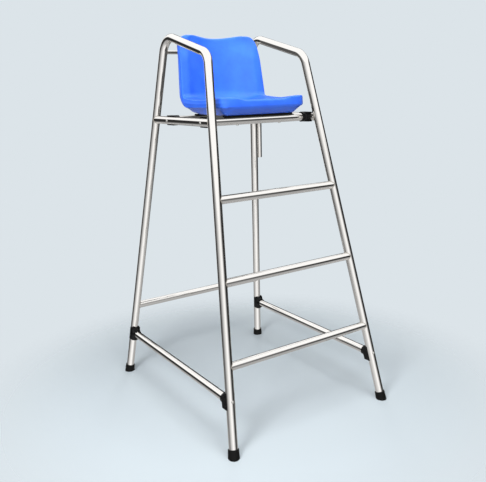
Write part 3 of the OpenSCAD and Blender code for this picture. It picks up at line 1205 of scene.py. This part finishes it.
@dataclass
class Studio:
    """Pale floor, soft lamps, the room that metal mirrors, background and the camera.

    Azimuths and elevations are degrees.  In a pair, the first value is where a fade starts
    and the second where it is full.
    """

    # Floor and background
    floor_radius: float = 1.6
    floor_fade: tuple[float, float] = (0.5, 0.98)
    floor_colour: str = "#DCE4E9"
    paint: str = "#C1CBD1"
    ambient: float = 0.32
    # Mirrored room: white above, a dark band round it, grey below
    band: str = "#2C2C2C"
    below: str = "#A8A8A8"
    sky_from: tuple[float, float] = (11.0, 18.0)
    low_from: tuple[float, float] = (-13.0, -32.0)
    mirrored: float = 1.34
    # White front panel between two azimuths, and a paler one behind, as the cosine from its middle
    panel_left: tuple[float, float] = (-145.0, -10.0)
    panel_right: tuple[float, float] = (45.0, -14.0)
    rear_azimuth: float = 170.0
    rear_edge: tuple[float, float] = (0.93, 0.96)
    rear_level: float = 0.8
    # Side on which the white starts higher up
    shade_azimuth: float = 115.0
    shade_edge: tuple[float, float] = (0.25, 0.55)
    shade_rise: float = 0.20
    # Painted reflection: a glowing grey copy of the seat, seen only in reflections, stands in for
    # the seat in shade
    flag_depth: float = 0.002
    flag_colour: str = "#5E5E5E"
    # Camera
    azimuth: float = -33.76
    elevation: float = 13.85
    roll: float = -1.41
    camera_at: tuple[float, float, float] = (-1.7268, -2.5668, 1.5549)
    lens_mm: float = 46.28
    lamps: tuple[Lamp, ...] = (
        Lamp("key", -60, 24, 4.2, (1.2, 1.6), 118),
        Lamp("fill", -10, 12, 4.6, (1.2, 2.0), 15),
        Lamp("top", -20, 66, 3.2, (2.4, 2.4), 118),
        Lamp("rear", 145, 18, 4.4, (1.2, 2.0), 30),
    )

    def place_camera(self) -> None:
        """Put the camera at the front right of the chair, at head height."""
        camera = bpy.data.objects.new("camera", bpy.data.cameras.new("camera"))
        camera.data.sensor_width = 36.0
        camera.data.lens = self.lens_mm
        camera.matrix_world = (
            Matrix.Translation(self.camera_at) @ swung(self.azimuth, self.elevation)
            @ Matrix.Rotation(radians(self.roll), 4, "Z")
        )
        bpy.context.scene.collection.objects.link(camera)
        bpy.context.scene.camera = camera

    def make_floor(self) -> None:
        """Lay a round pale floor that fades into the background."""
        bm = bmesh.new()
        bmesh.ops.create_circle(bm, cap_ends=True, segments=96, radius=self.floor_radius)
        mesh = bpy.data.meshes.new("studio_floor")
        bm.to_mesh(mesh)
        bm.free()
        floor = bpy.data.objects.new("studio_floor", mesh)
        bpy.context.scene.collection.objects.link(floor)
        material, add = new_material("painted_studio_floor")
        coords = add("TexCoord")
        distance = add("VectorMath", {"operation": "LENGTH"}, links={0: coords.outputs["Object"]})
        start, end = (share * self.floor_radius for share in self.floor_fade)
        fade = add("MapRange", SOFT, {"From Min": start, "From Max": end}, {"Value": distance})
        paint = add("BsdfDiffuse", values={"Color": linear(self.paint)})
        clear = add("BsdfTransparent")
        path = add("LightPath")
        share = add("Math", {"operation": "MAXIMUM"},
                    links={0: fade, 1: path.outputs["Is Glossy Ray"]})
        mix = add("MixShader", links={0: share, 1: paint, 2: clear})
        add("OutputMaterial", links={"Surface": mix})
        mesh.materials.append(material)

    def _room(self, add: Callable[..., Node]) -> Node:
        """Room that polished metal mirrors.

        Args:
            add: Function that adds a node to the world.

        Returns:
            Node with the room's colour in each direction.
        """
        coords = add("TexCoord")
        way = add("SeparateXYZ", links={0: coords.outputs["Generated"]})
        ahead = add("Math", {"operation": "MULTIPLY"}, {1: -1.0}, {0: way.outputs["Y"]})
        compass = add("Math", {"operation": "ARCTAN2"}, links={0: way.outputs["X"], 1: ahead})
        towards = [
            add("VectorMath", {"operation": "DOT_PRODUCT"}, {1: (sin(angle), -cos(angle), 0)},
                {0: coords.outputs["Generated"]})
            for angle in (radians(self.shade_azimuth), radians(self.rear_azimuth))
        ]
        left, right, shaded, rear, low = (
            add("MapRange", SOFT, {"From Min": start, "From Max": end}, {"Value": value})
            for value, (start, end) in (
                (compass, map(radians, self.panel_left)),
                (compass, map(radians, self.panel_right)),
                (towards[0], self.shade_edge),
                (towards[1], self.rear_edge),
                (way.outputs["Z"], (sin(radians(e)) for e in self.low_from)),
            )
        )
        start, end = (sin(radians(e)) for e in self.sky_from)
        lifted = add("Math", {"operation": "MULTIPLY_ADD"}, {1: -self.shade_rise},
                     {0: shaded, 2: way.outputs["Z"]})
        sky = add("MapRange", SOFT, {"From Min": start, "From Max": end}, {"Value": lifted})
        panel = add("Math", {"operation": "MULTIPLY"}, links={0: left, 1: right})
        behind = add("Math", {"operation": "MULTIPLY"}, {1: self.rear_level}, {0: rear})
        panels = add("Math", {"operation": "MAXIMUM"}, links={0: panel, 1: behind})
        white = add("Math", {"operation": "MAXIMUM"}, links={0: panels, 1: sky})
        round_it = add("Mix", {"data_type": "RGBA"},
                       {"A": linear(self.band), "B": linear(self.below)}, {"Factor": low})
        return add("Mix", {"data_type": "RGBA"}, {"B": linear("#FFFFFF")},
                   {"Factor": white, "A": round_it})

    def make_world(self) -> None:
        """Light the scene evenly, and show polished metal the studio round it."""
        world = bpy.data.worlds.new("studio")
        bpy.context.scene.world = world
        world.use_nodes = True
        world.node_tree.nodes.clear()
        add = partial(add_node, world.node_tree)
        path = add("LightPath")
        soft = add("Background", values={"Color": linear("#FFFFFF"), "Strength": self.ambient})
        seen = add("Background", values={"Color": linear(self.floor_colour)})
        mirrored = add("Background", values={"Strength": self.mirrored},
                       links={"Color": self._room(add)})
        shiny = add("Math", {"operation": "MAXIMUM"},
                    links={0: path.outputs["Is Glossy Ray"],
                           1: path.outputs["Is Transmission Ray"]})
        first = add("MixShader", links={0: shiny, 1: soft, 2: mirrored})
        last = add("MixShader", links={0: path.outputs["Is Camera Ray"], 1: first, 2: seen})
        add("OutputWorld", links={"Surface": last})

    def flag(self, seat: Object) -> None:
        """Keep the seat's blue out of the polished tubes, and paint a grey reflection of the
        shaded seat in its place.

        Args:
            seat: Seat whose painted grey reflection this makes, in reflections only.
        """
        bm = bmesh.new()
        bm.from_mesh(seat.data)
        # Just under the skin, so that the seat's own gloss never meets it
        for vert in bm.verts:
            vert.co -= vert.normal * self.flag_depth
        flag = bpy.data.objects.new("studio_flag", to_mesh(bm, "studio_flag"))
        bpy.context.scene.collection.objects.link(flag)
        reflection_glow_material, add = new_material("painted_reflection_glow")
        # The copy glows grey: a painted reflection of the seat in shade, seen by glossy rays only
        glow = add("Emission", values={"Color": linear(self.flag_colour)})
        add("OutputMaterial", links={"Surface": glow})
        flag.data.materials.append(reflection_glow_material)
        flag.visible_camera = flag.visible_diffuse = flag.visible_shadow = False
        seat.visible_glossy = False

    def build(self, seat: Object) -> None:
        """Set the whole studio up.

        Args:
            seat: Seat that is kept out of reflections, where a painted grey copy of it stands in.
        """
        bpy.context.scene.view_settings.view_transform = "Standard"
        self.place_camera()
        self.make_floor()
        self.make_world()
        for lamp in self.lamps:
            lamp.place()
        # Paints a glowing grey reflection of the seat in place of its own
        self.flag(seat)


def dress(finishes: Finishes) -> None:
    """Give every CAD node its finish; what a new piece replaces stays hidden.

    Args:
        finishes: The chair's materials.
    """
    for name, node in NODES.items():
        # Seat strips get black rubber: pads under the seat, and in part painted shade, as their
        # dark band stands for the shade beneath the seat
        finish = finishes.rubber if name.startswith("seat_strip") else finishes.tube
        node.data.materials.clear()
        node.data.materials.append(finish)
        LOG.info("dressed %s: %s", name, finish.name)


def main() -> None:
    """Dress the frame, build the new pieces and set the studio up."""
    finishes = Finishes()
    dress(finishes)
    for side in Side:
        SideTube(side).build(finishes.tube)
    Welds().build(finishes.weld)
    Connectors().build(finishes.nylon)
    for side in Side:
        for end in End:
            RubberFoot().build(side, end, finishes.rubber)
    Bolts().build(finishes.bolt)
    seat = BucketSeat().build(finishes.seat)
    Studio().build(seat)


if __name__ == "__main__":
    logging.basicConfig(level=logging.INFO)
    main()
